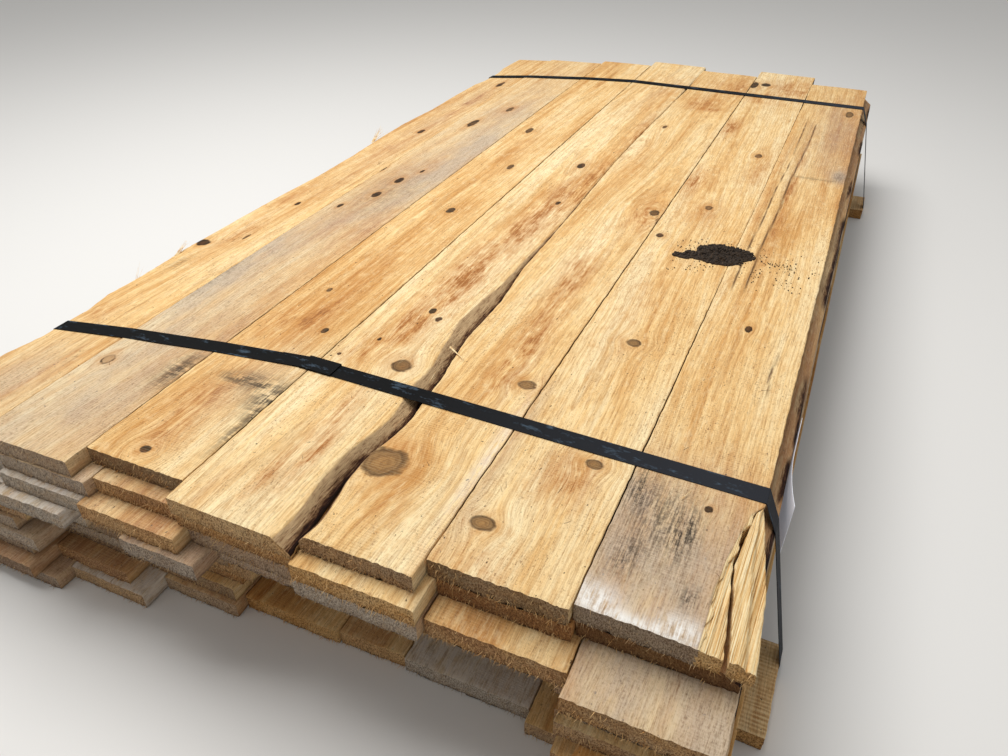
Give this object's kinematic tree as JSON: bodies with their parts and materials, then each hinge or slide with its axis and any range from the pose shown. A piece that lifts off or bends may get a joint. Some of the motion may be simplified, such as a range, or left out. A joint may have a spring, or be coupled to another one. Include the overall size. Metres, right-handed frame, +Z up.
{
  "type": "bundle of cedar boards",
  "caption": "Steel-strapped bundle of rough-sawn cedar boards stacked edge to edge, with staggered ends, waney edges, a split board and a sagging left side.",
  "frame": {"origin": "on the floor, midway across and midway along the whole bundle", "axes": "+Y along the boards from the near ends to the far ends, +Z up, +X to the right across the boards"},
  "size_m": [1.0986, 2.072, 0.2831],
  "materials": {
    "sawn_cedar": "rough sawn, weathered at the ends",
    "strap_steel": "blue-black painted steel, scuffed",
    "tag_paper": "matt"
  },
  "bodies": {
    "root": {"board_layer_01": "sawn_cedar", "board_layer_02": "sawn_cedar", "board_layer_03": "sawn_cedar", "board_layer_04": "sawn_cedar", "board_layer_05": "sawn_cedar", "board_layer_06": "sawn_cedar", "board_layer_07": "sawn_cedar", "board_layer_08": "sawn_cedar", "board_layer_09": "sawn_cedar", "board_layer_10": "sawn_cedar", "board_layer_11": "sawn_cedar", "front_block": "sawn_cedar", "rear_block": "sawn_cedar", "front_strap": "strap_steel", "rear_strap": "strap_steel", "front_seal": "strap_steel", "rear_seal": "strap_steel", "blank_tag": "tag_paper"}
  },
  "joints": []
}
